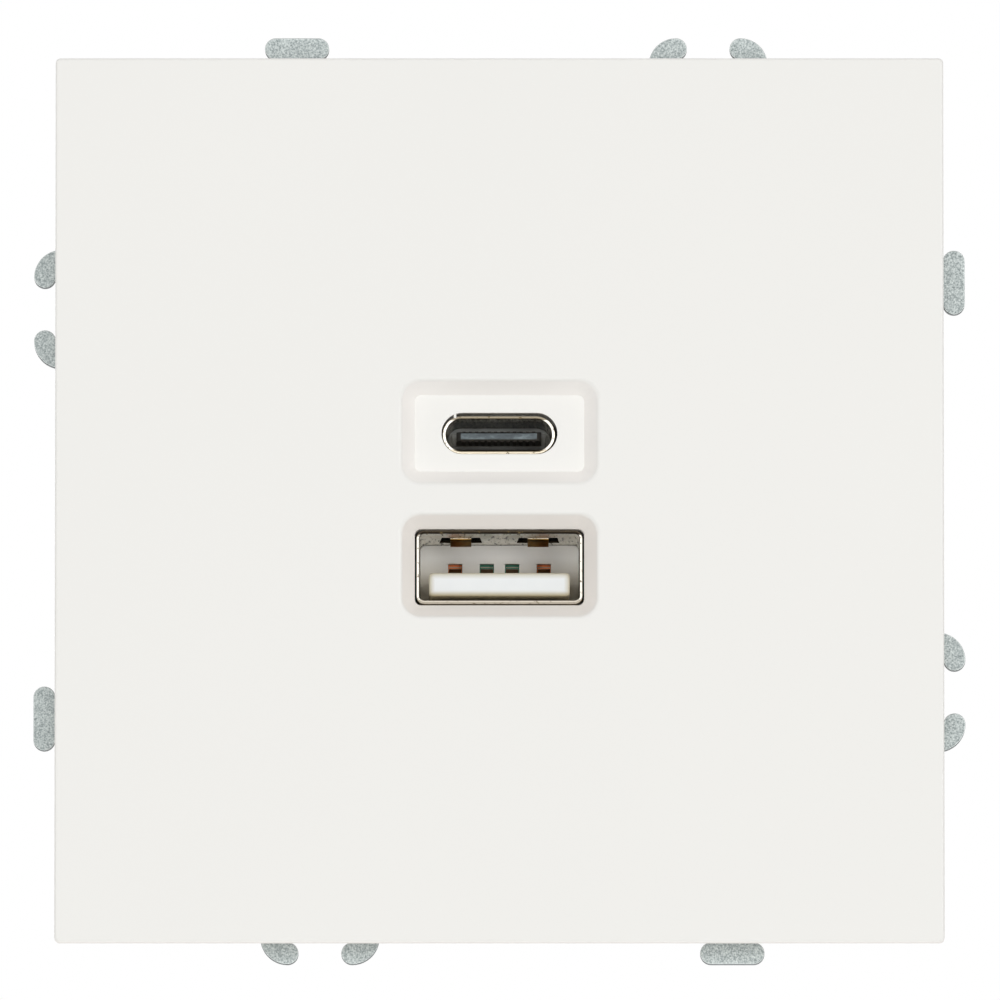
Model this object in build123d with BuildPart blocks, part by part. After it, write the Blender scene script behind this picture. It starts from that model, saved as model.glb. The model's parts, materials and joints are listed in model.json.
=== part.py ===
from build123d import *
import os
from math import radians, sqrt, tan

os.makedirs("parts", exist_ok=True)

# A flush USB wall socket. The wall is the plane y = 0, +Y runs into the wall box, +Z is up,
# the front faces -Y, and the origin is the centre of the ports on the wall. Sizes are in millimetres.

# Front cover
plate_size = 70.0
plate_corner = 0.4
plate_edge = 0.2
cover_depth = 5.2
cover_wall = 2.0
edge_land = 1.2
skirt_taper = 8.0
skirt_wall = 1.5
pocket_corner = 1.5
rib_thickness = 1.2
rib_height = 1.0

# Funnel recesses round the two ports
port_pitch = 10.6
port_rise = 0.07
funnel_slope = 1.1
funnel_depth = 1.4
funnel_lip = 0.4
floor_corner = 0.5
boss_margin = 1.3
boss_corner = 1.2

# USB-A receptacle
usb_a_width = 13.1
usb_a_height = 5.8
usb_a_corner = 0.65
usb_a_cavity = 8.5
usb_a_back = 0.8
usb_a_gap = 0.12
tongue_width = 11.1
tongue_height = 1.84
tongue_drop = 1.26
tongue_setback = 1.0
tongue_edge = 0.2
contact_offsets = (-3.5, -1.0, 1.0, 3.5)
contact_slot_width = 1.13
contact_slot_height = 1.5
contact_width = 1.0
contact_sheet = 0.25
contact_tip = 0.05
contact_hump = 0.35
contact_hump_length = 1.2
contact_bend = 1.0
contact_setback = 2.0
spring_offset = 3.05
spring_width = 1.65
spring_drop = 0.57
spring_floor_drop = 0.3
spring_tip_drop = 0.1
spring_bump = 4.9
spring_tip = 3.4
spring_bend = 0.8
window_start = 3.0
window_length = 4.2
window_front = 3.0
window_back = 3.4

# USB-C receptacle
usb_c_width = 8.88
usb_c_height = 3.02
usb_c_cavity = 6.4
usb_c_gap = 0.13
usb_c_setback = 0.15
usb_c_shift = -0.05
usb_c_sag = 0.1
usb_c_tongue_width = 6.69
usb_c_tongue_height = 0.7
usb_c_tongue_setback = 1.0
usb_c_tongue_bevel = 0.13
usb_c_tongue_side = 0.36
usb_c_root_width = 7.4
usb_c_root_height = 1.3
usb_c_root_length = 1.3
pad_count = 12
pad_pitch = 0.5
pad_width = 0.25
pad_thickness = 0.06
pad_length = 3.0
pad_setback = 0.4

# Sheet of both receptacle shells, and the running gap round their insulators
shell_sheet = 0.25
insulator_gap = 0.04

# Steel support frame
frame_sheet = 1.0
frame_size = 65.7
frame_corner = 2.5
frame_rise = 0.47
hook_reach = 36.75
hook_width = 1.72
hook_pitch = 32.5
hook_offsets = {0: -16.0, -90: -17.3, 180: -18.35, 90: -17.3}
head_width = 5.07
neck_width = 2.6
horn_gap = 5.1
horn_bend = 1.29
box_screw_pitch = 60.0
box_slot_width = 4.0
box_slot_length = 5.4
wall_hole_pitch = 55.0
wall_hole_radius = 1.8

# Charger housing
housing_width = 38.0
housing_height = 45.0
housing_cut = 5.0
housing_wall = 1.6
housing_edge = 0.5
deck_step_x = 1.0
deck_step_z = 3.0
deck_cut = 10.0
deck_proud = 1.6
deck_wall = 1.8
deck_gap = 0.3
split_depth = 12.0
housing_depth = 31.0
post_inset_x = 4.4
post_inset_z = 4.9
post_radius = 3.0
port_clearance = 0.2

# Cross pegs that hold the cover on the deck
peg_inset_x = 4.4
peg_inset_z = 4.1
peg_size = 4.0
peg_web = 1.2
peg_depth = 4.0
peg_chamfer = 0.35
peg_gap = 0.2
socket_wall = 0.9

# Screws that join the frame and the two halves of the housing
screw_radius = 1.1
screw_head_radius = 2.0
screw_head_height = 1.3
screw_gap = 0.06
screw_hole_gap = 0.24
screw_slot_width = 0.6
screw_slot_depth = 0.7
frame_screw_length = 6.0
seat_floor = 2.0
housing_screw_length = 8.0
head_gap = 0.35

# Circuit boards
board_thickness = 1.6
board_gap = 0.3
power_board_depth = 24.0
power_board_overlap = 2.0
stand_radius = 1.5
stand_x = 9.0
stand_z = 15.0
stand_drop = 5.0
finger_reach = 1.7
finger_width = 3.0
finger_z = 8.0
finger_root = 4.0
finger_gap = 0.3

# Pins between the boards
link_pitch = 2.54
link_count = 4
link_side = 0.64
link_tail = 0.4
link_gap = 0.05
header_width = 2.5
header_height = 2.5

# Transformer
core_width = 13.4
core_height = 11.4
core_depth = 6.2
core_leg = 2.6
core_centre = 3.6
core_yoke = 2.4
core_lift = 0.6
bobbin_gap = 0.1
bobbin_wall = 0.5
bobbin_flange = 0.6
bobbin_depth = 10.4
bobbin_rail = 1.8
winding_inset = 0.3

# Other components
part_gap = 0.4
bulk_radius = 3.15
bulk_height = 12.0
bulk_count = 2
output_radius = 3.15
output_height = 7.0
can_edge = 0.6
choke_radius = 3.2
choke_core_radius = 1.9
choke_height = 9.0
choke_flange = 1.2
disc_radius = 3.2
disc_thickness = 3.4
disc_edge = 1.2
fuse_radius = 1.3
fuse_length = 7.0
bridge_size = (4.7, 2.5, 3.9)
switch_size = (5.0, 1.6, 4.0)
controller_size = (4.0, 0.9, 4.0)
controller_places = ((-10.0, 6.0), (10.0, 6.0))

# Supply terminals: a fixed blade, a cage round it and the screw that draws the cage up
terminal_inset = 4.9
supply_blade_depth = 21.5
supply_blade_sheet = 0.8
supply_blade_width = 3.4
supply_blade_rise = 9.5
supply_tail = 1.2
cage_sheet = 0.8
cage_wall = 1.2
cage_inner_width = 4.0
cage_length = 5.0
cage_opening = 3.4
cage_gap = 0.1
cage_travel = 2.4
terminal_screw_radius = 1.5
terminal_head_radius = 2.4
terminal_head_height = 2.0
terminal_gap = 0.3
pocket_wall = 1.0
pocket_gap = 0.5
wire_radius = 2.0

# Spreading claws: each swings on a pin in two ears of the frame when its screw draws its foot forward
claw_standoff = 2.2
claw_pin_depth = 2.5
claw_pin_radius = 1.0
claw_pin_overhang = 0.4
claw_pin_gap = 0.05
claw_sheet = 1.1
claw_width = 8.2
claw_eye_radius = 1.8
claw_arm_reach = 7.2
claw_arm_end = 18.0
claw_tip_out = 0.9
claw_tip_length = 2.4
claw_tooth = 1.3
claw_bend = 1.0
claw_screw_offset = 4.0
claw_screw_radius = 1.25
claw_screw_head = 2.2
claw_screw_head_height = 1.5
claw_screw_length = 10.5
claw_slot_length = 3.4
claw_slot_inset = 0.2
claw_slot_gap = 0.1
ear_gap = 0.2
ear_half_width = 1.5
notch_gap = 0.4

# Levels behind the wall plane (negative in front of it)
frame_front = -frame_sheet
face = frame_front - cover_depth
wall_back = face + cover_wall
floor_level = face + funnel_depth
boss_back = wall_back + rib_height
usb_board_front = floor_level + usb_a_cavity + usb_a_back
usb_board_back = usb_board_front + board_thickness
power_board_back = power_board_depth + board_thickness
deck_front = frame_front - deck_proud
deck_back = deck_front + deck_wall
rear_inside = housing_depth - housing_wall
screw_seat = split_depth + seat_floor

# Places and sizes that several pieces share
usb_c_z = port_rise + port_pitch / 2
usb_a_z = port_rise - port_pitch / 2
usb_c_centre = (usb_c_shift, usb_c_z - usb_c_sag)
floor_width = usb_a_width + 2 * usb_a_gap
floor_height = usb_a_height + 2 * usb_a_gap
rim_size = plate_size - 2 * (cover_depth - edge_land) * tan(radians(skirt_taper))
inner_width = housing_width - 2 * housing_wall
inner_height = housing_height - 2 * housing_wall
inner_cut = housing_cut - housing_wall * (2 - sqrt(2))
deck_width = housing_width - 2 * deck_step_x
deck_height = housing_height - 2 * deck_step_z
post_x = housing_width / 2 - post_inset_x
post_z = housing_height / 2 - post_inset_z
peg_x = deck_width / 2 - peg_inset_x
peg_z = deck_height / 2 - peg_inset_z
corner_posts = [(x, z) for x in (-post_x, post_x) for z in (-post_z, post_z)]
peg_places = [(-peg_x, 0), (peg_x, 0), (0, -peg_z), (0, peg_z)]
link_places = [((i - (link_count - 1) / 2) * link_pitch, peg_z) for i in range(link_count)]
pilot_radius = screw_radius + screw_gap
socket_radius = peg_size / 2 + peg_gap
pocket_half = cage_inner_width / 2 + cage_sheet + terminal_gap
terminal_x = post_x - post_radius - pocket_gap - pocket_wall - pocket_half
terminal_z = terminal_inset - inner_height / 2
supply_blade_top = terminal_z + supply_blade_rise
claw_pin_x = housing_width / 2 + claw_standoff
claw_screw_x = claw_pin_x + claw_screw_offset
claw_arm_x = claw_pin_x + claw_arm_reach
terminal_sides = {"live": terminal_x, "neutral": -terminal_x}
claw_sides = {"left": -1, "right": 1}

# Places of the components: each row starts above the blades and is laid inwards from the board's edges
board_width = inner_width - 2 * board_gap
board_height = inner_height - 2 * board_gap
power_board_bottom = supply_blade_top - power_board_overlap
finger_inner = inner_width / 2 - finger_gap - finger_reach
row_foot = supply_blade_top + part_gap
row_end = board_width / 2 - part_gap
bulk_x = bulk_radius + part_gap - finger_inner
bulk_foot = row_foot + bulk_radius
bulk_places = [(bulk_x, bulk_foot + i * (2 * bulk_radius + part_gap)) for i in range(bulk_count)]
bridge_x = bulk_x + bulk_radius + part_gap + bridge_size[0] / 2
bridge_z = row_foot + bridge_size[2] / 2
switch_z = row_foot + switch_size[2] / 2
fuse_z = row_foot + fuse_radius
choke_x = row_end - choke_radius
choke_z = fuse_z + fuse_radius + part_gap + choke_radius
disc_x = row_end - disc_radius
disc_z = choke_z + choke_radius + part_gap + disc_thickness / 2
core_x = choke_x - choke_radius - part_gap - core_width / 2
core_z = peg_z - link_side / 2 - part_gap - bobbin_depth / 2
output_x = finger_inner - part_gap - output_radius
output_z = post_radius + part_gap + output_radius - post_z


def wall_plane(depth):
    """Sketch plane parallel to the wall, seen from the front: X to the right, Z up, normal to the front."""
    return Plane.XZ.offset(-depth)


def octagon(width, height, cut):
    """Corners of a rectangle with its four corners cut at 45 degrees."""
    x, z = width / 2, height / 2
    upper = [(-x, z - cut), (cut - x, z), (x - cut, z), (x, z - cut)]
    lower = [(x, cut - z), (x - cut, -z), (cut - x, -z), (-x, cut - z)]
    return upper + lower


# Front cover: a square tray with two funnels, a boss behind them, ribs and four cross pegs
with BuildPart() as front_cover:
    with BuildSketch(wall_plane(face + edge_land)):
        RectangleRounded(plate_size, plate_size, plate_corner)
    extrude(amount=edge_land)
    with BuildSketch(wall_plane(face + edge_land)):
        RectangleRounded(plate_size, plate_size, plate_corner)
    with BuildSketch(wall_plane(frame_front)):
        RectangleRounded(rim_size, rim_size, plate_corner)
    loft()
    with BuildSketch(wall_plane(frame_front)):
        RectangleRounded(rim_size - 2 * skirt_wall, rim_size - 2 * skirt_wall, pocket_corner)
    extrude(amount=frame_front - wall_back, mode=Mode.SUBTRACT)

    boss_width = floor_width + 2 * (funnel_slope + boss_margin)
    boss_height = port_pitch + floor_height + 2 * (funnel_slope + boss_margin)
    with BuildSketch(wall_plane(boss_back)):
        RectangleRounded(boss_width, boss_height, boss_corner)
    extrude(amount=boss_back - wall_back)
    with BuildSketch(wall_plane(boss_back)):
        Rectangle(rim_size - skirt_wall, rib_thickness)
        Rectangle(rib_thickness, rim_size - skirt_wall)
    extrude(amount=rib_height)
    with BuildSketch(wall_plane(peg_depth)):
        with Locations(*peg_places):
            Rectangle(peg_size, peg_web)
            Rectangle(peg_web, peg_size)
    extrude(amount=peg_depth - wall_back)
    chamfer(front_cover.faces().sort_by(Axis.Y)[-len(peg_places):].edges(), peg_chamfer)

    for port_z in (usb_c_z, usb_a_z):
        with BuildSketch(wall_plane(face)):
            with Locations((0, port_z)):
                RectangleRounded(
                    floor_width + 2 * funnel_slope,
                    floor_height + 2 * funnel_slope,
                    floor_corner + funnel_slope,
                )
        with BuildSketch(wall_plane(floor_level)):
            with Locations((0, port_z)):
                RectangleRounded(floor_width, floor_height, floor_corner)
        loft(mode=Mode.SUBTRACT)
    with BuildSketch(wall_plane(boss_back)):
        with Locations((0, usb_a_z)):
            RectangleRounded(floor_width, floor_height, floor_corner)
        with Locations((0, usb_c_z)):
            SlotOverall(usb_c_width + 2 * usb_c_gap, usb_c_height + 2 * usb_c_gap)
    extrude(amount=boss_back - floor_level, mode=Mode.SUBTRACT)

    front_face = front_cover.faces().sort_by(Axis.Y)[0]
    funnel_rims = [edge for wire in front_face.inner_wires() for edge in wire.edges()]
    fillet(funnel_rims, funnel_lip)
    fillet(front_cover.faces().sort_by(Axis.Y)[0].outer_wire().edges(), plate_edge)
front_cover.part.label = "front_cover"
export_step(front_cover.part, "parts/front_cover.step")

# One side's hooks, pointing up: a T-head on a neck, and the horns that take the next frame's T-head
head_centre = hook_reach - hook_width / 2
neck_foot = frame_size / 2 - neck_width
horn_centre = head_centre - horn_bend
horn_foot = frame_size / 2 - hook_width
with BuildSketch() as t_head:
    with Locations((0, head_centre)):
        SlotOverall(head_width, hook_width)
    with Locations((0, (neck_foot + head_centre) / 2)):
        Rectangle(neck_width, head_centre - neck_foot)
with BuildSketch() as horn_pair:
    horn_outside = horn_bend + hook_width / 2
    with Locations((horn_gap / 2, horn_centre)):
        Circle(horn_outside)
        Circle(horn_bend - hook_width / 2, mode=Mode.SUBTRACT)
        Rectangle(2 * horn_outside, horn_outside, align=(Align.CENTER, Align.MAX), mode=Mode.SUBTRACT)
        Rectangle(horn_outside, 2 * horn_outside, align=(Align.MAX, Align.CENTER), mode=Mode.SUBTRACT)
    with Locations((horn_gap / 2, head_centre)):
        Circle(hook_width / 2)
    with Locations((horn_gap / 2 + horn_bend, (horn_foot + horn_centre) / 2)):
        Rectangle(hook_width, horn_centre - horn_foot)
    mirror(about=Plane.YZ)

# Support frame: stamped sheet with hooks on its four sides, and ears for the claws
with BuildPart() as support_frame:
    with BuildSketch(wall_plane(0)):
        with Locations((0, frame_rise)):
            RectangleRounded(frame_size, frame_size, frame_corner)
        for turn, head_offset in hook_offsets.items():
            with Locations(Location((0, frame_rise, 0), (0, 0, turn))):
                with Locations((head_offset, 0)):
                    add(t_head.sketch)
                with Locations((head_offset + hook_pitch, 0)):
                    add(horn_pair.sketch)
        opening = octagon(deck_width + 2 * deck_gap, deck_height + 2 * deck_gap, deck_cut)
        Polygon(*opening, mode=Mode.SUBTRACT)
        with Locations(*corner_posts):
            Circle(screw_radius + screw_hole_gap, mode=Mode.SUBTRACT)
        with Locations((0, box_screw_pitch / 2), (0, -box_screw_pitch / 2)):
            SlotOverall(box_slot_length, box_slot_width, rotation=90, mode=Mode.SUBTRACT)
        with GridLocations(wall_hole_pitch, wall_hole_pitch, 2, 2):
            Circle(wall_hole_radius, mode=Mode.SUBTRACT)
        notch_end = claw_pin_x + ear_half_width + notch_gap
        for sign in claw_sides.values():
            with Locations((sign * notch_end / 2, 0)):
                Rectangle(notch_end, claw_width + 2 * ear_gap, mode=Mode.SUBTRACT)
            with Locations((sign * claw_screw_x, 0)):
                Circle(claw_screw_radius + ear_gap, mode=Mode.SUBTRACT)
    extrude(amount=frame_sheet)
    for sign in claw_sides.values():
        for ear_start in (claw_width / 2 + ear_gap, -claw_width / 2 - ear_gap - frame_sheet):
            with BuildSketch(Plane.XY.offset(ear_start)):
                with Locations((sign * claw_pin_x, (claw_pin_depth + frame_front) / 2)):
                    Rectangle(2 * ear_half_width, claw_pin_depth - frame_front)
                with Locations((sign * claw_pin_x, claw_pin_depth)):
                    Circle(ear_half_width + claw_pin_gap)
                    Circle(claw_pin_radius + claw_pin_gap, mode=Mode.SUBTRACT)
            extrude(amount=frame_sheet)
support_frame.part.label = "support_frame"
export_step(support_frame.part, "parts/support_frame.step")

# Front half of the housing: the deck stands through the frame, the shoulder seats behind it
with BuildPart() as housing_front:
    with BuildSketch(wall_plane(split_depth)):
        Polygon(*octagon(housing_width, housing_height, housing_cut))
    extrude(amount=split_depth)
    with BuildSketch(wall_plane(0)):
        Polygon(*octagon(deck_width, deck_height, deck_cut))
    extrude(amount=-deck_front)
    fillet(housing_front.faces().sort_by(Axis.Y)[0].edges(), housing_edge)
    with BuildSketch(wall_plane(split_depth)):
        Polygon(*octagon(inner_width, inner_height, inner_cut))
    extrude(amount=split_depth - housing_wall, mode=Mode.SUBTRACT)
    with BuildSketch(wall_plane(housing_wall)):
        Polygon(*octagon(deck_width - 2 * housing_wall, deck_height - 2 * housing_wall, deck_cut))
    extrude(amount=housing_wall - deck_back, mode=Mode.SUBTRACT)
    with BuildSketch(wall_plane(usb_board_front)):
        with Locations(*peg_places):
            Circle(socket_radius + socket_wall)
    extrude(amount=usb_board_front - deck_back)
    with BuildSketch(wall_plane(split_depth)):
        with Locations(*corner_posts):
            Circle(post_radius)
    extrude(amount=split_depth)
    with BuildSketch(wall_plane(split_depth)):
        with Locations(*corner_posts):
            Circle(pilot_radius)
    extrude(amount=split_depth, mode=Mode.SUBTRACT)
    with BuildSketch(wall_plane(usb_board_front)):
        with Locations(*peg_places):
            Circle(socket_radius)
    extrude(amount=usb_board_front - deck_front, mode=Mode.SUBTRACT)
    with BuildSketch(wall_plane(deck_back)):
        with Locations((0, usb_a_z)):
            RectangleRounded(
                usb_a_width + 2 * port_clearance, usb_a_height + 2 * port_clearance, usb_a_corner
            )
        with Locations(usb_c_centre):
            SlotOverall(usb_c_width + 2 * port_clearance, usb_c_height + 2 * port_clearance)
    extrude(amount=deck_wall, mode=Mode.SUBTRACT)
housing_front.part.label = "housing_front"
export_step(housing_front.part, "parts/housing_front.step")

# Rear half of the housing: a deep box with screw wells, terminal pockets, stands and clamping fingers
cage_back = supply_blade_depth + supply_blade_sheet + cage_gap + cage_wall
cage_front = supply_blade_depth - cage_opening - cage_wall
wire_depth = supply_blade_depth - cage_opening / 2
with BuildPart() as housing_rear:
    with BuildSketch(wall_plane(housing_depth)):
        Polygon(*octagon(housing_width, housing_height, housing_cut))
    extrude(amount=housing_depth - split_depth)
    fillet(housing_rear.faces().sort_by(Axis.Y)[-1].edges(), housing_edge)
    with BuildSketch(wall_plane(rear_inside)):
        Polygon(*octagon(inner_width, inner_height, inner_cut))
    extrude(amount=rear_inside - split_depth, mode=Mode.SUBTRACT)
    with BuildSketch(wall_plane(rear_inside)):
        with Locations(*corner_posts):
            Circle(post_radius)
    extrude(amount=rear_inside - split_depth)
    with BuildSketch(wall_plane(rear_inside)):
        with GridLocations(2 * stand_x, stand_z + stand_drop, 2, 2):
            with Locations((0, (stand_z - stand_drop) / 2)):
                Circle(stand_radius)
    extrude(amount=rear_inside - power_board_back)
    with BuildSketch(wall_plane(rear_inside)):
        for x in terminal_sides.values():
            for side in (-1, 1):
                wall_x = x + side * (pocket_half + pocket_wall / 2)
                pocket_top = terminal_z + cage_length / 2
                with Locations((wall_x, (pocket_top - inner_height / 2) / 2)):
                    Rectangle(pocket_wall, pocket_top + inner_height / 2)
    extrude(amount=rear_inside - cage_front)
    for side in (-1, 1):
        for finger_middle in (-finger_z, finger_z):
            with BuildSketch(Plane.XY.offset(finger_middle - finger_width / 2)):
                root_end = split_depth + finger_root
                with Locations((side * (finger_inner + finger_reach / 2), (usb_board_back + root_end) / 2)):
                    Rectangle(finger_reach, root_end - usb_board_back)
                with Locations((side * (finger_inner + inner_width / 2) / 2, (split_depth + root_end) / 2)):
                    Rectangle(inner_width / 2 - finger_inner, finger_root)
            extrude(amount=finger_width)
    with BuildSketch(wall_plane(housing_depth)):
        with Locations(*corner_posts):
            Circle(screw_head_radius + head_gap)
    extrude(amount=housing_depth - screw_seat, mode=Mode.SUBTRACT)
    with BuildSketch(wall_plane(screw_seat)):
        with Locations(*corner_posts):
            Circle(pilot_radius)
    extrude(amount=seat_floor, mode=Mode.SUBTRACT)
    with BuildSketch(wall_plane(housing_depth)):
        with Locations(*[(x, terminal_z) for x in terminal_sides.values()]):
            Circle(terminal_head_radius + terminal_gap)
    extrude(amount=housing_wall, mode=Mode.SUBTRACT)
    with BuildSketch(Plane.XY.offset(-housing_height / 2)):
        with Locations(*[(x, wire_depth) for x in terminal_sides.values()]):
            Circle(wire_radius)
    extrude(amount=housing_wall, mode=Mode.SUBTRACT)
housing_rear.part.label = "housing_rear"
export_step(housing_rear.part, "parts/housing_rear.step")

# Frame screws: slotted, from the front into the housing's corner posts
with BuildPart() as frame_screws:
    with BuildSketch(wall_plane(frame_front + frame_screw_length)):
        with Locations(*corner_posts):
            Circle(screw_radius)
    extrude(amount=frame_screw_length)
    with BuildSketch(wall_plane(frame_front)):
        with Locations(*corner_posts):
            Circle(screw_head_radius)
    extrude(amount=screw_head_height)
    with BuildSketch(wall_plane(frame_front - screw_head_height)):
        with Locations(*corner_posts):
            Rectangle(2 * screw_head_radius + head_gap, screw_slot_width)
    extrude(amount=-screw_slot_depth, mode=Mode.SUBTRACT)
frame_screws.part.label = "frame_screws"
export_step(frame_screws.part, "parts/frame_screws.step")

# Housing screws: from the rear, through the wells into the same posts
with BuildPart() as housing_screws:
    with BuildSketch(wall_plane(screw_seat)):
        with Locations(*corner_posts):
            Circle(screw_radius)
    extrude(amount=housing_screw_length)
    with BuildSketch(wall_plane(screw_seat + screw_head_height)):
        with Locations(*corner_posts):
            Circle(screw_head_radius)
    extrude(amount=screw_head_height)
    with BuildSketch(wall_plane(screw_seat + screw_head_height)):
        with Locations(*corner_posts):
            Rectangle(2 * screw_head_radius + head_gap, screw_slot_width)
    extrude(amount=screw_slot_depth, mode=Mode.SUBTRACT)
housing_screws.part.label = "housing_screws"
export_step(housing_screws.part, "parts/housing_screws.step")

# Boards: both clear the corner posts, and the power board stops above the terminals
board_cut = (board_width + board_height) / 2 - (post_x + post_z - sqrt(2) * (post_radius + board_gap))
with BuildPart() as usb_board:
    with BuildSketch(wall_plane(usb_board_back)):
        Polygon(*octagon(board_width, board_height, board_cut))
        with Locations(*link_places):
            Rectangle(link_side + 2 * link_gap, link_side + 2 * link_gap, mode=Mode.SUBTRACT)
    extrude(amount=board_thickness)
usb_board.part.label = "usb_board"
export_step(usb_board.part, "parts/usb_board.step")

with BuildPart() as power_board:
    with BuildSketch(wall_plane(power_board_back)):
        Polygon(*octagon(board_width, board_height, board_cut))
        with Locations((0, power_board_bottom)):
            Rectangle(board_width, board_height, align=(Align.CENTER, Align.MAX), mode=Mode.SUBTRACT)
        with Locations(*link_places):
            Rectangle(link_side + 2 * link_gap, link_side + 2 * link_gap, mode=Mode.SUBTRACT)
        with Locations(*[(x, supply_blade_top - supply_tail / 2) for x in terminal_sides.values()]):
            Rectangle(supply_tail + 2 * link_gap, supply_tail + 2 * link_gap, mode=Mode.SUBTRACT)
    extrude(amount=board_thickness)
power_board.part.label = "power_board"
export_step(power_board.part, "parts/power_board.step")

# USB-A shell: folded sheet with two windows and two inward springs in its roof and in its floor
shell_end = usb_board_front
with BuildPart() as usb_a_shell:
    with BuildSketch(wall_plane(shell_end)):
        with Locations((0, usb_a_z)):
            RectangleRounded(usb_a_width, usb_a_height, usb_a_corner)
            RectangleRounded(
                usb_a_width - 2 * shell_sheet,
                usb_a_height - 2 * shell_sheet,
                usb_a_corner - shell_sheet,
                mode=Mode.SUBTRACT,
            )
    extrude(amount=shell_end - floor_level)
    window_near = floor_level + window_start
    window_far = window_near + window_length
    with BuildSketch(Plane.XY.offset(usb_a_z - usb_a_height / 2)):
        for x in (-spring_offset, spring_offset):
            near = [(x - window_front / 2, window_near), (x + window_front / 2, window_near)]
            far = [(x + window_back / 2, window_far), (x - window_back / 2, window_far)]
            Polygon(*near, *far)
    extrude(amount=usb_a_height, mode=Mode.SUBTRACT)
    bump = floor_level + spring_bump
    tip = floor_level + spring_tip
    root = window_far + shell_sheet
    for x in (-spring_offset, spring_offset):
        for side, drop in ((1, spring_drop), (-1, spring_floor_drop)):
            with BuildSketch(Plane.YZ.offset(x - spring_width / 2)) as spring_profile:
                drops = [(root, 0), (bump, drop), (tip, spring_tip_drop)]
                outside = [(y, usb_a_z + side * (usb_a_height / 2 - down)) for y, down in drops]
                inside = [(y, z - side * shell_sheet) for y, z in reversed(outside)]
                Polygon(*outside, *inside)
                for bend_point, bend_radius in (
                    (inside[1], spring_bend + shell_sheet),
                    (outside[1], spring_bend),
                ):
                    fillet(spring_profile.vertices().sort_by_distance(bend_point)[0], bend_radius)
            extrude(amount=spring_width)
usb_a_shell.part.label = "usb_a_shell"
export_step(usb_a_shell.part, "parts/usb_a_shell.step")

# USB-A insulator: back wall with four contact slots, and the tongue in front of it
cavity_end = floor_level + usb_a_cavity
tongue_z = usb_a_z - tongue_drop
tongue_top = tongue_z + tongue_height / 2
with BuildPart() as usb_a_insulator:
    with BuildSketch(wall_plane(usb_board_front)):
        with Locations((0, usb_a_z)):
            RectangleRounded(
                usb_a_width - 2 * (shell_sheet + insulator_gap),
                usb_a_height - 2 * (shell_sheet + insulator_gap),
                usb_a_corner - shell_sheet,
            )
    extrude(amount=usb_a_back)
    with BuildSketch(wall_plane(cavity_end)):
        with Locations((0, tongue_z)):
            Rectangle(tongue_width, tongue_height)
    extrude(amount=usb_a_cavity - tongue_setback)
    fillet(usb_a_insulator.faces().sort_by(Axis.Y)[0].edges(), tongue_edge)
    with BuildSketch(wall_plane(usb_board_front)):
        with Locations(*[(x, tongue_top + contact_slot_height / 2) for x in contact_offsets]):
            Rectangle(contact_slot_width, contact_slot_height)
    extrude(amount=usb_a_back, mode=Mode.SUBTRACT)
usb_a_insulator.part.label = "usb_a_insulator"
export_step(usb_a_insulator.part, "parts/usb_a_insulator.step")

# USB-A contacts: four strips along the tongue's top, each with a hump where the plug touches it
with BuildPart() as usb_a_contacts:
    contact_start = floor_level + contact_setback
    contact_top = tongue_top + contact_sheet
    for x in contact_offsets:
        with BuildSketch(Plane.YZ.offset(x - contact_width / 2)) as contact_profile:
            hump_middle = contact_start + contact_hump_length
            under_side = [(contact_start, tongue_top), (usb_board_front, tongue_top)]
            strip_end = [(usb_board_front, contact_top), (hump_middle + contact_hump_length, contact_top)]
            hump = [(hump_middle, contact_top + contact_hump), (contact_start, tongue_top + contact_tip)]
            Polygon(*under_side, *strip_end, *hump)
            fillet(contact_profile.vertices().sort_by(Axis.Y)[-1], contact_bend)
        extrude(amount=contact_width)
usb_a_contacts.part.label = "usb_a_contacts"
export_step(usb_a_contacts.part, "parts/usb_a_contacts.step")

# USB-C shell: a drawn tube of stadium section
usb_c_mouth = floor_level + usb_c_setback
with BuildPart() as usb_c_shell:
    with BuildSketch(wall_plane(usb_board_front)):
        with Locations(usb_c_centre):
            SlotOverall(usb_c_width, usb_c_height)
            SlotOverall(
                usb_c_width - 2 * shell_sheet, usb_c_height - 2 * shell_sheet, mode=Mode.SUBTRACT
            )
    extrude(amount=usb_board_front - usb_c_mouth)
usb_c_shell.part.label = "usb_c_shell"
export_step(usb_c_shell.part, "parts/usb_c_shell.step")

# USB-C insulator: back block, stepped root and the thin tongue with a bevelled front edge
usb_c_end = usb_c_mouth + usb_c_cavity
usb_c_tongue_tip = usb_c_mouth + usb_c_tongue_setback
usb_c_root_front = usb_c_end - usb_c_root_length
with BuildPart() as usb_c_insulator:
    with BuildSketch(wall_plane(usb_board_front)):
        with Locations(usb_c_centre):
            SlotOverall(
                usb_c_width - 2 * (shell_sheet + insulator_gap),
                usb_c_height - 2 * (shell_sheet + insulator_gap),
            )
    extrude(amount=usb_board_front - usb_c_end)
    with BuildSketch(wall_plane(usb_c_end)):
        with Locations(usb_c_centre):
            Rectangle(usb_c_root_width, usb_c_root_height)
    extrude(amount=usb_c_root_length)
    with BuildSketch(wall_plane(usb_c_root_front)):
        with Locations(usb_c_centre):
            Rectangle(usb_c_tongue_width, usb_c_tongue_height)
    extrude(amount=usb_c_root_front - usb_c_tongue_tip)
    for direction, bevel in ((Axis.Z, usb_c_tongue_side), (Axis.X, usb_c_tongue_bevel)):
        tongue_nose = usb_c_insulator.faces().sort_by(Axis.Y)[0]
        chamfer(tongue_nose.edges().filter_by(direction), bevel)
usb_c_insulator.part.label = "usb_c_insulator"
export_step(usb_c_insulator.part, "parts/usb_c_insulator.step")

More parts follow.
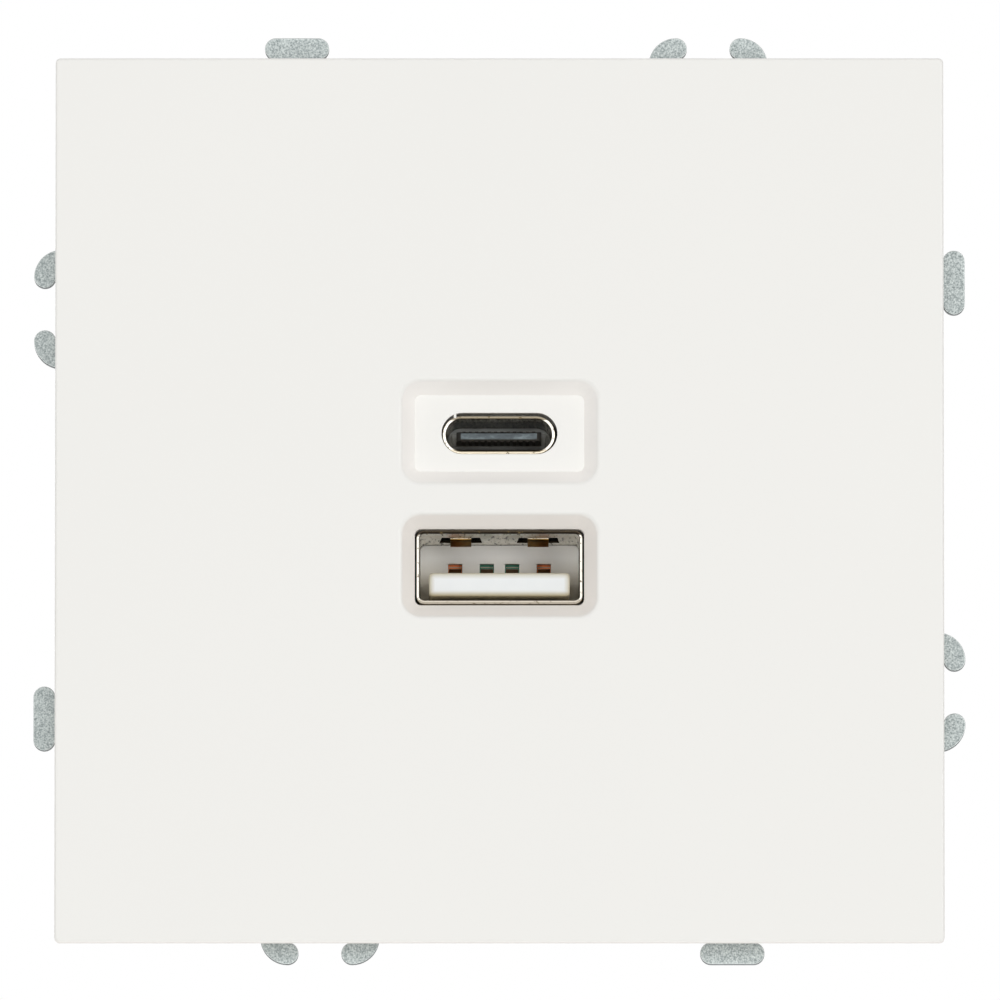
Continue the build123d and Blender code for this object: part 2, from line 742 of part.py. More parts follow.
# USB-C contacts: a row of pads on each face of the tongue
with BuildPart() as usb_c_contacts:
    with BuildSketch(wall_plane(usb_c_tongue_tip + pad_setback + pad_length)):
        with Locations(usb_c_centre):
            with GridLocations(pad_pitch, usb_c_tongue_height + pad_thickness, pad_count, 2):
                Rectangle(pad_width, pad_thickness)
    extrude(amount=pad_length)
usb_c_contacts.part.label = "usb_c_contacts"
export_step(usb_c_contacts.part, "parts/usb_c_contacts.step")

# Transformer core: two E halves that close round the winding
core_foot = power_board_depth - core_lift
core_top = core_foot - core_height
window_width = (core_width - 2 * core_leg - core_centre) / 2
window_offset = (core_centre + window_width) / 2
with BuildPart() as transformer_core:
    with BuildSketch(Plane.XY.offset(core_z - core_depth / 2)):
        with Locations((core_x, (core_foot + core_top) / 2)):
            Rectangle(core_width, core_height)
            with Locations((-window_offset, 0), (window_offset, 0)):
                Rectangle(window_width, core_height - 2 * core_yoke, mode=Mode.SUBTRACT)
    extrude(amount=core_depth)
transformer_core.part.label = "transformer_core"
export_step(transformer_core.part, "parts/transformer_core.step")

# Bobbin: a square tube on the centre leg, two flanges, and rails that stand on the board
bobbin_half = core_centre / 2 + window_width - bobbin_gap
rail_offset = (bobbin_depth - bobbin_rail) / 2
bobbin_front = core_top + core_yoke + bobbin_gap
bobbin_back = core_foot - core_yoke - bobbin_gap
leg_hole = (core_centre + 2 * bobbin_gap, core_depth + 2 * bobbin_gap)
tube_size = (leg_hole[0] + 2 * bobbin_wall, leg_hole[1] + 2 * bobbin_wall)
with BuildPart() as transformer_bobbin:
    with BuildSketch(wall_plane(bobbin_back)):
        with Locations((core_x, core_z)):
            Rectangle(*tube_size)
    extrude(amount=bobbin_back - bobbin_front)
    for flange_back in (bobbin_back, bobbin_front + bobbin_flange):
        with BuildSketch(wall_plane(flange_back)):
            with Locations((core_x, core_z)):
                Rectangle(2 * bobbin_half, bobbin_depth)
        extrude(amount=bobbin_flange)
    with BuildSketch(wall_plane(power_board_depth)):
        with Locations((core_x, core_z)):
            with Locations((0, -rail_offset), (0, rail_offset)):
                Rectangle(2 * bobbin_half, bobbin_rail)
    extrude(amount=power_board_depth - bobbin_back)
    with BuildSketch(wall_plane(bobbin_back)):
        with Locations((core_x, core_z)):
            Rectangle(*leg_hole)
    extrude(amount=bobbin_back - bobbin_front, mode=Mode.SUBTRACT)
transformer_bobbin.part.label = "transformer_bobbin"
export_step(transformer_bobbin.part, "parts/transformer_bobbin.step")

# Winding: a taped coil between the flanges
with BuildPart() as transformer_winding:
    with BuildSketch(wall_plane(bobbin_back - bobbin_flange)):
        with Locations((core_x, core_z)):
            RectangleRounded(
                2 * (bobbin_half - winding_inset), bobbin_depth - 2 * winding_inset, bobbin_rail / 2
            )
            Rectangle(*tube_size, mode=Mode.SUBTRACT)
    extrude(amount=bobbin_back - bobbin_front - 2 * bobbin_flange)
transformer_winding.part.label = "transformer_winding"
export_step(transformer_winding.part, "parts/transformer_winding.step")

# Bulk capacitors: cans that stand on the power board
with BuildPart() as bulk_capacitors:
    with BuildSketch(wall_plane(power_board_depth)):
        with Locations(*bulk_places):
            Circle(bulk_radius)
    extrude(amount=bulk_height)
    fillet(bulk_capacitors.edges().group_by(Axis.Y)[0], can_edge)
bulk_capacitors.part.label = "bulk_capacitors"
export_step(bulk_capacitors.part, "parts/bulk_capacitors.step")

# Output capacitors: smaller cans behind the port board
with BuildPart() as output_capacitors:
    with BuildSketch(wall_plane(usb_board_back)):
        with Locations((-output_x, output_z), (output_x, output_z)):
            Circle(output_radius)
    extrude(amount=-output_height)
    fillet(output_capacitors.edges().group_by(Axis.Y)[-1], can_edge)
output_capacitors.part.label = "output_capacitors"
export_step(output_capacitors.part, "parts/output_capacitors.step")

# Input choke: a drum core, revolved
with BuildPart() as input_choke:
    with BuildSketch(wall_plane(power_board_depth)):
        with Locations((choke_x, choke_z)):
            Circle(choke_core_radius)
    extrude(amount=choke_height)
    for flange_back in (power_board_depth, power_board_depth - choke_height + choke_flange):
        with BuildSketch(wall_plane(flange_back)):
            with Locations((choke_x, choke_z)):
                Circle(choke_radius)
        extrude(amount=choke_flange)
input_choke.part.label = "input_choke"
export_step(input_choke.part, "parts/input_choke.step")

# Safety capacitor: a dipped disc on edge
with BuildPart() as safety_capacitor:
    with BuildSketch(Plane.XY.offset(disc_z - disc_thickness / 2)):
        with Locations((disc_x, power_board_depth - disc_radius)):
            Circle(disc_radius)
    extrude(amount=disc_thickness)
    fillet(safety_capacitor.edges().filter_by(GeomType.CIRCLE), disc_edge)
safety_capacitor.part.label = "safety_capacitor"
export_step(safety_capacitor.part, "parts/safety_capacitor.step")

# Fuse: a small tube that lies on the power board
with BuildPart() as fuse:
    with BuildSketch(Plane.YZ.offset(row_end - fuse_length)):
        with Locations((power_board_depth - fuse_radius, fuse_z)):
            Circle(fuse_radius)
    extrude(amount=fuse_length)
fuse.part.label = "fuse"
export_step(fuse.part, "parts/fuse.step")

# Bridge rectifier and power switch on the power board, and the two port controllers behind the port board
with BuildPart() as bridge_rectifier:
    with BuildSketch(wall_plane(power_board_depth)):
        with Locations((bridge_x, bridge_z)):
            Rectangle(bridge_size[0], bridge_size[2])
    extrude(amount=bridge_size[1])
bridge_rectifier.part.label = "bridge_rectifier"
export_step(bridge_rectifier.part, "parts/bridge_rectifier.step")

with BuildPart() as power_switch_ic:
    with BuildSketch(wall_plane(power_board_depth)):
        with Locations((core_x, switch_z)):
            Rectangle(switch_size[0], switch_size[2])
    extrude(amount=switch_size[1])
power_switch_ic.part.label = "power_switch_ic"
export_step(power_switch_ic.part, "parts/power_switch_ic.step")

with BuildPart() as port_controller_ics:
    with BuildSketch(wall_plane(usb_board_back)):
        with Locations(*controller_places):
            Rectangle(controller_size[0], controller_size[2])
    extrude(amount=-controller_size[1])
port_controller_ics.part.label = "port_controller_ics"
export_step(port_controller_ics.part, "parts/port_controller_ics.step")

# Link between the boards: a header behind the port board and four square pins through both
with BuildPart() as board_link_header:
    with BuildSketch(wall_plane(usb_board_back + header_height)):
        with Locations((0, peg_z)):
            Rectangle(link_count * link_pitch, header_width)
        with Locations(*link_places):
            Rectangle(link_side + 2 * link_gap, link_side + 2 * link_gap, mode=Mode.SUBTRACT)
    extrude(amount=header_height)
board_link_header.part.label = "board_link_header"
export_step(board_link_header.part, "parts/board_link_header.step")

with BuildPart() as board_link_pins:
    with BuildSketch(wall_plane(power_board_back + link_tail)):
        with Locations(*link_places):
            Rectangle(link_side, link_side)
    extrude(amount=power_board_back - usb_board_front + 2 * link_tail)
board_link_pins.part.label = "board_link_pins"
export_step(board_link_pins.part, "parts/board_link_pins.step")

# Supply terminals
for pole, pole_x in terminal_sides.items():
    blade_bottom = terminal_z - cage_length / 2
    with BuildPart() as terminal_blade:
        with BuildSketch(wall_plane(supply_blade_depth + supply_blade_sheet)):
            with Locations((pole_x, (supply_blade_top + blade_bottom) / 2)):
                Rectangle(supply_blade_width, supply_blade_top - blade_bottom)
        extrude(amount=supply_blade_sheet)
        with BuildSketch(wall_plane(power_board_back + link_tail)):
            with Locations((pole_x, supply_blade_top - supply_tail / 2)):
                Rectangle(supply_tail, supply_tail)
        extrude(amount=power_board_back + link_tail - supply_blade_depth)
    terminal_blade.part.label = f"terminal_blade_{pole}"
    export_step(terminal_blade.part, f"parts/terminal_blade_{pole}.step")

    with BuildPart() as terminal_cage:
        with BuildSketch(Plane.XY.offset(terminal_z - cage_length / 2)):
            with Locations((pole_x, (cage_back + cage_front) / 2)):
                Rectangle(cage_inner_width + 2 * cage_sheet, cage_back - cage_front)
            with Locations((pole_x, (cage_back + cage_front) / 2)):
                Rectangle(cage_inner_width, cage_back - cage_front - 2 * cage_wall, mode=Mode.SUBTRACT)
        extrude(amount=cage_length)
        with BuildSketch(wall_plane(cage_back)):
            with Locations((pole_x, terminal_z)):
                Circle(terminal_screw_radius + cage_gap)
        extrude(amount=cage_wall, mode=Mode.SUBTRACT)
    terminal_cage.part.label = f"terminal_cage_{pole}"
    export_step(terminal_cage.part, f"parts/terminal_cage_{pole}.step")

    head_front = cage_back + cage_travel + terminal_gap
    screw_tip = supply_blade_depth + supply_blade_sheet + cage_gap
    with BuildPart() as terminal_screw:
        with BuildSketch(wall_plane(head_front)):
            with Locations((pole_x, terminal_z)):
                Circle(terminal_screw_radius)
        extrude(amount=head_front - screw_tip)
        with BuildSketch(wall_plane(head_front + terminal_head_height)):
            with Locations((pole_x, terminal_z)):
                Circle(terminal_head_radius)
        extrude(amount=terminal_head_height)
        with BuildSketch(wall_plane(head_front + terminal_head_height)):
            with Locations((pole_x, terminal_z)):
                Rectangle(2 * terminal_head_radius + head_gap, screw_slot_width)
        extrude(amount=screw_slot_depth, mode=Mode.SUBTRACT)
    terminal_screw.part.label = f"terminal_screw_{pole}"
    export_step(terminal_screw.part, f"parts/terminal_screw_{pole}.step")

# Claws with their pins and screws
foot_back = claw_pin_depth + claw_eye_radius
foot_front = foot_back - claw_sheet
for side_name, sign in claw_sides.items():
    with BuildPart() as claw:
        with BuildSketch(Plane.XY.offset(-claw_width / 2)) as claw_profile:
            arm_inner = claw_arm_x - claw_sheet
            arm_corners = [(arm_inner, foot_front), (claw_arm_x, foot_front), (claw_arm_x, claw_arm_end)]
            tip_end = claw_arm_end + claw_tip_length
            tip_corners = [(claw_arm_x + claw_tip_out, tip_end), (arm_inner + claw_tip_out, tip_end)]
            outline = arm_corners + tip_corners + [(arm_inner, claw_arm_end)]
            Polygon(*[(sign * x, y) for x, y in outline])
            with Locations((sign * (claw_pin_x + claw_arm_x) / 2, (foot_front + foot_back) / 2)):
                Rectangle(claw_arm_x - claw_pin_x, claw_sheet)
            bend = (sign * claw_arm_x, foot_front, -claw_width / 2)
            fillet(claw_profile.vertices().sort_by_distance(bend)[0], claw_bend)
            with Locations((sign * claw_pin_x, claw_pin_depth)):
                Circle(claw_eye_radius)
                Circle(claw_pin_radius + claw_pin_gap, mode=Mode.SUBTRACT)
        extrude(amount=claw_width)
        with BuildSketch(wall_plane(foot_back)):
            with Locations((sign * (claw_screw_x - claw_slot_inset), 0)):
                SlotOverall(claw_slot_length, 2 * (claw_screw_radius + claw_slot_gap))
        extrude(amount=claw_sheet, mode=Mode.SUBTRACT)
        with BuildSketch(Plane.YZ.offset(sign * claw_pin_x)):
            for tooth_z in (-claw_width / 4, claw_width / 4):
                valley = (tip_end - claw_tooth, tooth_z)
                Polygon(valley, (tip_end, tooth_z - claw_tooth), (tip_end, tooth_z + claw_tooth))
        tooth_cut = claw_arm_x + claw_tip_out + claw_sheet - claw_pin_x
        extrude(amount=sign * tooth_cut, mode=Mode.SUBTRACT)
    claw.part.label = f"claw_{side_name}"
    export_step(claw.part, f"parts/claw_{side_name}.step")

    pin_half = claw_width / 2 + ear_gap + frame_sheet + claw_pin_overhang
    with BuildPart() as claw_pin:
        with BuildSketch(Plane.XY.offset(-pin_half)):
            with Locations((sign * claw_pin_x, claw_pin_depth)):
                Circle(claw_pin_radius)
        extrude(amount=2 * pin_half)
    claw_pin.part.label = f"claw_pin_{side_name}"
    export_step(claw_pin.part, f"parts/claw_pin_{side_name}.step")

    with BuildPart() as claw_screw:
        with BuildSketch(wall_plane(frame_front + claw_screw_length)):
            with Locations((sign * claw_screw_x, 0)):
                Circle(claw_screw_radius)
        extrude(amount=claw_screw_length)
        with BuildSketch(wall_plane(frame_front)):
            with Locations((sign * claw_screw_x, 0)):
                Circle(claw_screw_head)
        extrude(amount=claw_screw_head_height)
        with BuildSketch(wall_plane(frame_front - claw_screw_head_height)):
            with Locations((sign * claw_screw_x, 0)):
                Rectangle(2 * claw_screw_head + head_gap, screw_slot_width)
        extrude(amount=-screw_slot_depth, mode=Mode.SUBTRACT)
    claw_screw.part.label = f"claw_screw_{side_name}"
    export_step(claw_screw.part, f"parts/claw_screw_{side_name}.step")
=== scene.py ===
import bmesh
import bpy
import json
from math import cos, pi, radians, sin
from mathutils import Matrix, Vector


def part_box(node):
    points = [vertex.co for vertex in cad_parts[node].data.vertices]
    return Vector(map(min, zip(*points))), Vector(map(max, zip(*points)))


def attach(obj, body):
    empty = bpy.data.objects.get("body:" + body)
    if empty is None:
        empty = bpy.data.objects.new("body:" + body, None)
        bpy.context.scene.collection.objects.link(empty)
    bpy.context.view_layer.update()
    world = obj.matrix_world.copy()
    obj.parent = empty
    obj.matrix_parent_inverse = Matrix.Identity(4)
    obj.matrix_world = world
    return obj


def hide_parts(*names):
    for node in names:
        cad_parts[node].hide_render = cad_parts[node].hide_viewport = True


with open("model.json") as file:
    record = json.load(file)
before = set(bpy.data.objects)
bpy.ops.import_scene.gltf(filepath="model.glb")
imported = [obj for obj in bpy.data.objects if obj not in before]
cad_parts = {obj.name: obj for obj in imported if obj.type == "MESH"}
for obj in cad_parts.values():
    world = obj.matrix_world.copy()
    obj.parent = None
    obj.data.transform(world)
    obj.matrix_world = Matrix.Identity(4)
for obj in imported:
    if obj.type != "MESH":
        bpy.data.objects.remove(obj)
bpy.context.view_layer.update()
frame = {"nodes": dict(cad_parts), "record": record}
nodes = frame["nodes"]
slotOf = {row["node"]: row["material_slot"] for row in frame["record"]["subparts"]}
bodyOf = {node: body for body, group in frame["record"]["behaviour"]["bodies"].items() for node in group}
mm = 0.001
print("frame loaded:", len(nodes), "nodes")


def linear(hexColour):
    levels = [int(hexColour[i:i + 2], 16) / 255 for i in (1, 3, 5)]
    return [v / 12.92 if v <= 0.04045 else ((v + 0.055) / 1.055) ** 2.4 for v in levels] + [1.0]


# The scale of a pattern whose grain has this size in mm
def perMm(size):
    return 1 / (size * mm)


# Links a socket, turns a hex colour to linear, and sets the rest as it is
def fillSockets(tree, node, inputs):
    for name, value in inputs.items():
        if isinstance(value, bpy.types.NodeSocket):
            tree.links.new(value, node.inputs[name])
        else:
            node.inputs[name].default_value = linear(value) if isinstance(value, str) else value


# Adds a node with its settings, links and colour stops, and gives back one of its outputs
def addNode(tree, kind, inputs=None, out=0, stops=None, **settings):
    node = tree.nodes.new("ShaderNode" + kind)
    for name, value in settings.items():
        setattr(node, name, value)
    fillSockets(tree, node, inputs or {})
    if stops:
        elements = node.color_ramp.elements
        while len(elements) < len(stops):
            elements.new(1.0)
        for element, (position, tone) in zip(elements, sorted(stops.items())):
            element.position = position
            element.color = linear(tone)
    return node.outputs[out]


def startMaterial(name, **sockets):
    material = bpy.data.materials.new(name)
    material.use_nodes = True
    tree = material.node_tree
    shader = tree.nodes["Principled BSDF"]
    fillSockets(tree, shader, sockets)
    place = addNode(tree, "TexCoord", out="Object")
    return material, tree, shader, place


# Camera: in front of the ports and six degrees below them, with a very long lens. Lens, frame and aim are in mm
photoView = {
    "below": 6.1, "lens": 1000.0, "sensor": 36.0, "frameWidth": 78.74, "aimX": 0.043, "aimZ": -0.055, "clipEnd": 100,
}


def makeCamera():
    data = bpy.data.cameras.new("photoCamera")
    data.lens = photoView["lens"]
    data.sensor_width = photoView["sensor"]
    data.clip_end = photoView["clipEnd"]
    camera = bpy.data.objects.new("photoCamera", data)
    bpy.context.scene.collection.objects.link(camera)
    distance = photoView["frameWidth"] * mm * photoView["lens"] / photoView["sensor"]
    below = radians(photoView["below"])
    aim = Vector((photoView["aimX"] * mm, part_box("front_cover")[0].y, photoView["aimZ"] * mm))
    camera.location = aim + distance * Vector((0, -cos(below), -sin(below)))
    camera.rotation_euler = (pi / 2 + below, 0, 0)
    bpy.context.scene.camera = camera


# Light: an even pale sky, a soft box on each side of the camera and a low one in front, and one each behind and
# under the part, all in metres. A box's share is how bright it makes a white face that looks at it, where 1 is
# full white
studio = {
    "sky": 0.53, "floorDrop": 4.0, "floorSize": 7.0, "floorColour": "#E9E9E6", "floorRoughness": 0.9,
    "boxes": {
        "leftBox": {"place": (-1.2, -2.4, 0.1), "size": 0.8, "share": 0.13},
        "rightBox": {"place": (1.2, -2.4, 0.2), "size": 0.8, "share": 0.235},
        "lowBox": {"place": (0.0, -2.6, -0.85), "size": 0.7, "share": 0.125},
        "rearBox": {"place": (-1.2, 2.2, 1.1), "size": 2.0, "share": 0.28},
        "underBox": {"place": (0.0, 0.75, -2.5), "size": 1.3, "share": 0.32},
    },
}


# 1 for a ray that meets the backdrop straight from the camera, off metal or through glass
def backdropRays(tree):
    rays = addNode(tree, "LightPath").node.outputs
    seen = addNode(tree, "Math", {0: rays["Is Camera Ray"], 1: rays["Is Glossy Ray"]}, operation="MAXIMUM")
    return addNode(tree, "Math", {0: seen, 1: rays["Is Transmission Ray"]}, operation="MAXIMUM")


def makeLight():
    scene = bpy.context.scene
    scene.view_settings.view_transform = "Standard"
    world = bpy.data.worlds.new("paleSky")
    scene.world = world
    world.use_nodes = True
    tree = world.node_tree
    strength = addNode(tree, "MapRange", {"Value": backdropRays(tree), "To Min": studio["sky"], "To Max": 1.0})
    fillSockets(tree, tree.nodes["Background"], {"Color": "#FFFFFF", "Strength": strength})
    for name, softBox in studio["boxes"].items():
        data = bpy.data.lights.new(name, "AREA")
        data.size = softBox["size"]
        place = Vector(softBox["place"])
        data.energy = softBox["share"] * pi ** 2 * place.length_squared
        lamp = bpy.data.objects.new(name, data)
        lamp.location = place
        lamp.rotation_euler = (-place).to_track_quat("-Z", "Y").to_euler()
        scene.collection.objects.link(lamp)


def makeFloor():
    bm = bmesh.new()
    bmesh.ops.create_grid(bm, x_segments=1, y_segments=1, size=studio["floorSize"] / 2)
    bmesh.ops.translate(bm, verts=bm.verts, vec=(0, 0, -studio["floorDrop"]))
    mesh = bpy.data.meshes.new("studioFloor")
    bm.to_mesh(mesh)
    bm.free()
    floor = bpy.data.objects.new("studioFloor", mesh)
    bpy.context.scene.collection.objects.link(floor)
    # Matt floor paint: pale grey for the light, plain white to the eye
    material, tree, shader = startMaterial("paleFloorPaint", Roughness=studio["floorRoughness"])[:3]
    fillSockets(tree, shader, {"Base Color": studio["floorColour"]})
    white = addNode(tree, "Emission", {"Color": "#FFFFFF", "Strength": 1.0})
    surface = addNode(tree, "MixShader", {0: backdropRays(tree), 1: shader.outputs[0], 2: white})
    fillSockets(tree, tree.nodes["Material Output"], {"Surface": surface})
    mesh.materials.append(material)


makeCamera()
makeLight()
makeFloor()
print("camera and studio ready")

# What the materials share: a Mix node for colours, with its factor on socket 0 and its tones on 6 and 7, the detail
# of a noise and the strength of a bump. In all the looks, sizes, depths and heights are in mm
toneMix = {"kind": "Mix", "data_type": "RGBA", "out": 2}
fineDetail = 3.0
bumpStrength = 0.6


# Two close tones over a soft cloud
def cloudTone(tree, place, sizeMm, tones):
    cloud = addNode(tree, "TexNoise", {"Vector": place, "Scale": perMm(sizeMm), "Detail": fineDetail}, "Fac")
    return addNode(tree, inputs={0: cloud, 6: tones[0], 7: tones[1]}, **toneMix)


# Fine grit that stands up from the surface
def gritBump(tree, place, sizeMm, depthMm, detail=fineDetail):
    grit = addNode(tree, "TexNoise", {"Vector": place, "Scale": perMm(sizeMm), "Detail": detail}, "Fac")
    return addNode(tree, "Bump", {"Height": grit, "Distance": depthMm * mm, "Strength": bumpStrength})


# How squarely a face looks along the Y axis, from 0 to 1
def facingFront(tree):
    normal = addNode(tree, "NewGeometry", out="True Normal")
    return addNode(tree, "Math", {0: addNode(tree, "SeparateXYZ", {0: normal}, "Y")}, operation="ABSOLUTE")


# How far a point lies inside a rounded outline in the XZ plane, in metres
def insideOutline(tree, place, low, high, corner):
    middle, half = (low + high) / 2, (high - low) / 2
    straight = (half.x - corner, 0.0, half.z - corner)
    offset = addNode(tree, "VectorMath", {0: place, 1: tuple(middle)}, operation="SUBTRACT")
    offset = addNode(tree, "VectorMath", {0: offset}, operation="ABSOLUTE")
    past = addNode(tree, "VectorMath", {0: offset, 1: straight}, operation="SUBTRACT")
    past = addNode(tree, "VectorMath", {0: past, 1: (0.0, 0.0, 0.0)}, operation="MAXIMUM")
    past = addNode(tree, "VectorMath", {0: past, 1: (1.0, 0.0, 1.0)}, operation="MULTIPLY")
    reach = addNode(tree, "VectorMath", {0: past}, "Value", operation="LENGTH")
    return addNode(tree, "Math", {0: corner, 1: reach}, operation="SUBTRACT")


# Polycarbonate, moulded in a finely eroded tool: an even warm white with a soft sheen. The sloping walls of the
# recesses carry painted bounce light: paler and warmer than the face, most of all round the lower port
coverLook = {
    "tones": ("#EFEEEA", "#F1F0EC"), "cloud": 22, "cloudDetail": 2.0, "roughness": (0.42, 0.50),
    "wallTones": ("#F9F6F2", "#F5F0EA"), "wallDepth": (0.02, 0.25), "wallFacing": (0.97, 0.85),
    "lowerPort": (1.5, -1.0), "grit": 0.16, "gritDepth": 0.004,
}


def coverPlastic():
    look = coverLook
    material, tree, shader, place = startMaterial("polycarbonateSatinWhite", IOR=1.585)
    axes = addNode(tree, "SeparateXYZ", {0: place}).node.outputs
    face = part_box("front_cover")[0].y
    bands = {
        "depth": (axes["Y"], *(face + depth * mm for depth in look["wallDepth"])),
        "slope": (facingFront(tree), *look["wallFacing"]),
        "lower": (axes["Z"], *(up * mm for up in look["lowerPort"])),
    }
    band = {name: addNode(tree, "MapRange", {"Value": value, "From Min": start, "From Max": end})
            for name, (value, start, end) in bands.items()}
    cloudInputs = {"Vector": place, "Scale": perMm(look["cloud"]), "Detail": look["cloudDetail"]}
    cloud = addNode(tree, "TexNoise", cloudInputs, "Fac")
    plain = addNode(tree, inputs={0: cloud, 6: look["tones"][0], 7: look["tones"][1]}, **toneMix)
    # Painted bounce light: the recess walls take paler, warmer tones, warmest round the lower port
    paintedBounce = addNode(tree, inputs={0: band["lower"], 6: look["wallTones"][0], 7: look["wallTones"][1]}, **toneMix)
    inRecess = addNode(tree, "Math", {0: band["depth"], 1: band["slope"]}, operation="MULTIPLY")
    smooth, dull = look["roughness"]
    fillSockets(tree, shader, {
        "Base Color": addNode(tree, inputs={0: inRecess, 6: plain, 7: paintedBounce}, **toneMix),
        "Roughness": addNode(tree, "MapRange", {"Value": cloud, "To Min": smooth, "To Max": dull}),
        "Normal": gritBump(tree, place, look["grit"], look["gritDepth"]),
    })
    return material


# Glass-filled nylon, moulded with a coarser texture: a duller, greyer white
housingLook = {"tones": ("#DCDCD8", "#E6E6E2"), "cloud": 9, "grit": 0.25, "gritDepth": 0.02, "gritDetail": 4.0}


def housingPlastic():
    look = housingLook
    material, tree, shader, place = startMaterial("nylonMouldedPaleGrey", IOR=1.53, Roughness=0.58)
    fillSockets(tree, shader, {
        "Base Color": cloudTone(tree, place, look["cloud"], look["tones"]),
        "Normal": gritBump(tree, place, look["grit"], look["gritDepth"], look["gritDetail"]),
    })
    return material


# Zinc-plated mild steel: a speckle of small blue-grey crystals, and on the stamped sheet a painted highlight on a
# paler rim and painted shade on the cut edges, over the darker torn metal there
zincLook = {
    "speck": 0.13, "tones": {0.28: "#707878", 0.50: "#9CA3A2", 0.72: "#C0C6C4"}, "roughness": (0.32, 0.52),
    "speckDepth": 0.015, "speckStrength": 0.5,
    "cutTones": {0.25: "#4F5657", 0.71: "#8A9190", 0.95: "#CBD0CE"}, "flatFacing": (0.985, 0.998),
}


def zincSteel(name, stamped):
    look = zincLook
    material, tree, shader, place = startMaterial(name, Metallic=1.0)
    speckInputs = {"Vector": place, "Scale": perMm(look["speck"]), "Detail": fineDetail}
    speck = addNode(tree, "TexNoise", speckInputs, "Fac")
    tone = addNode(tree, "ValToRGB", {"Fac": speck}, stops=look["tones"])
    if stamped:
        facing = facingFront(tree)
        # Painted highlight and shade by how squarely a face looks to the front: paler on the rounded rim, darker on
        # the cut edges
        edgeShadeAndHighlight = addNode(tree, "ValToRGB", {"Fac": facing}, stops=look["cutTones"])
        start, end = look["flatFacing"]
        flat = addNode(tree, "MapRange", {"Value": facing, "From Min": start, "From Max": end})
        tone = addNode(tree, inputs={0: flat, 6: edgeShadeAndHighlight, 7: tone}, **toneMix)
    smooth, dull = look["roughness"]
    bumpInputs = {"Height": speck, "Distance": look["speckDepth"] * mm, "Strength": look["speckStrength"]}
    fillSockets(tree, shader, {
        "Base Color": tone,
        "Roughness": addNode(tree, "MapRange", {"Value": speck, "To Min": smooth, "To Max": dull}),
        "Normal": addNode(tree, "Bump", bumpInputs),
    })
    return material


# Nickel-plated steel sheet, folded: warm and bright with small pits, with painted highlight and shade across the rim
# and painted shade on the roof behind the lip, dark cut edges round the windows, and brown springs
shells = {
    "usb_a_shell": {
        "corner": 0.65, "sheet": 0.25, "lipDepth": 1.8,
        "walls": {0.34: "#40382A", 0.42: "#F6F3E8", 0.60: "#FFFFFA"},
        "roof": {0.34: "#382F24", 0.42: "#DAD6C9", 0.60: "#ECE8DD"},
        "side": {0.0: "#2C2822", 0.14: "#8C867B", 0.26: "#E6E1D4", 0.68: "#FFFDF4", 0.78: "#7A7468", 0.95: "#2F2A22"},
        "top": {0.0: "#5A5042", 0.40: "#2E2820", 0.85: "#0E0C09", 1.0: "#3A342A"},
        "bottom": {0.0: "#B9B0A2", 0.35: "#8E8577", 0.65: "#BDB5A8", 1.0: "#C6BFB0"},
    },
    "usb_c_shell": {
        "corner": 1.5, "sheet": 0.25, "lipDepth": 2.6,
        "walls": {0.36: "#7E786C", 0.50: "#C4BEB1", 0.66: "#EDE8DB"},
        "roof": {0.36: "#45423A", 0.50: "#6E6A61", 0.66: "#948F85"},
        "side": {0.0: "#A8A090", 0.20: "#E8E2D4", 0.55: "#FFFDF6", 0.90: "#EEE8DA", 1.0: "#6A645A"},
        "top": {0.0: "#6E6655", 0.35: "#9E9583", 0.65: "#897F6C", 0.85: "#3A352C", 1.0: "#2A2721"},
        "bottom": {0.0: "#E6DCC8", 0.40: "#E6DCC8", 0.65: "#A2967F", 0.90: "#443D31"},
    },
}
# Both shells: pits and grain are drawn out along the fold, and the bands of the rim are in sheet thicknesses
nickelLook = {
    "pit": 0.22, "pitDetail": 4.0, "pitStretch": (1.0, 0.12, 1.0), "pitTone": "#5E5038", "pitLevels": (0.38, 0.32),
    "grain": 0.08, "grainDetail": 2.0, "grainStretch": (1.0, 0.06, 1.0), "grainDepth": 0.004, "grainStrength": 0.5,
    "roughness": (0.26, 0.40), "rimDepth": (0.16, 0.08), "lipFade": 0.6, "wallBand": (2.2, 1.4), "rimBand": (1.6, 1.2),
    "cutBand": (0.1, 0.9), "cutTone": "#26221B", "floorTone": "#EBE0C4",
    "springBand": (1.05, 1.2), "springCloud": 0.9, "springTones": {0.35: "#725B30", 0.65: "#B88E48"},
}


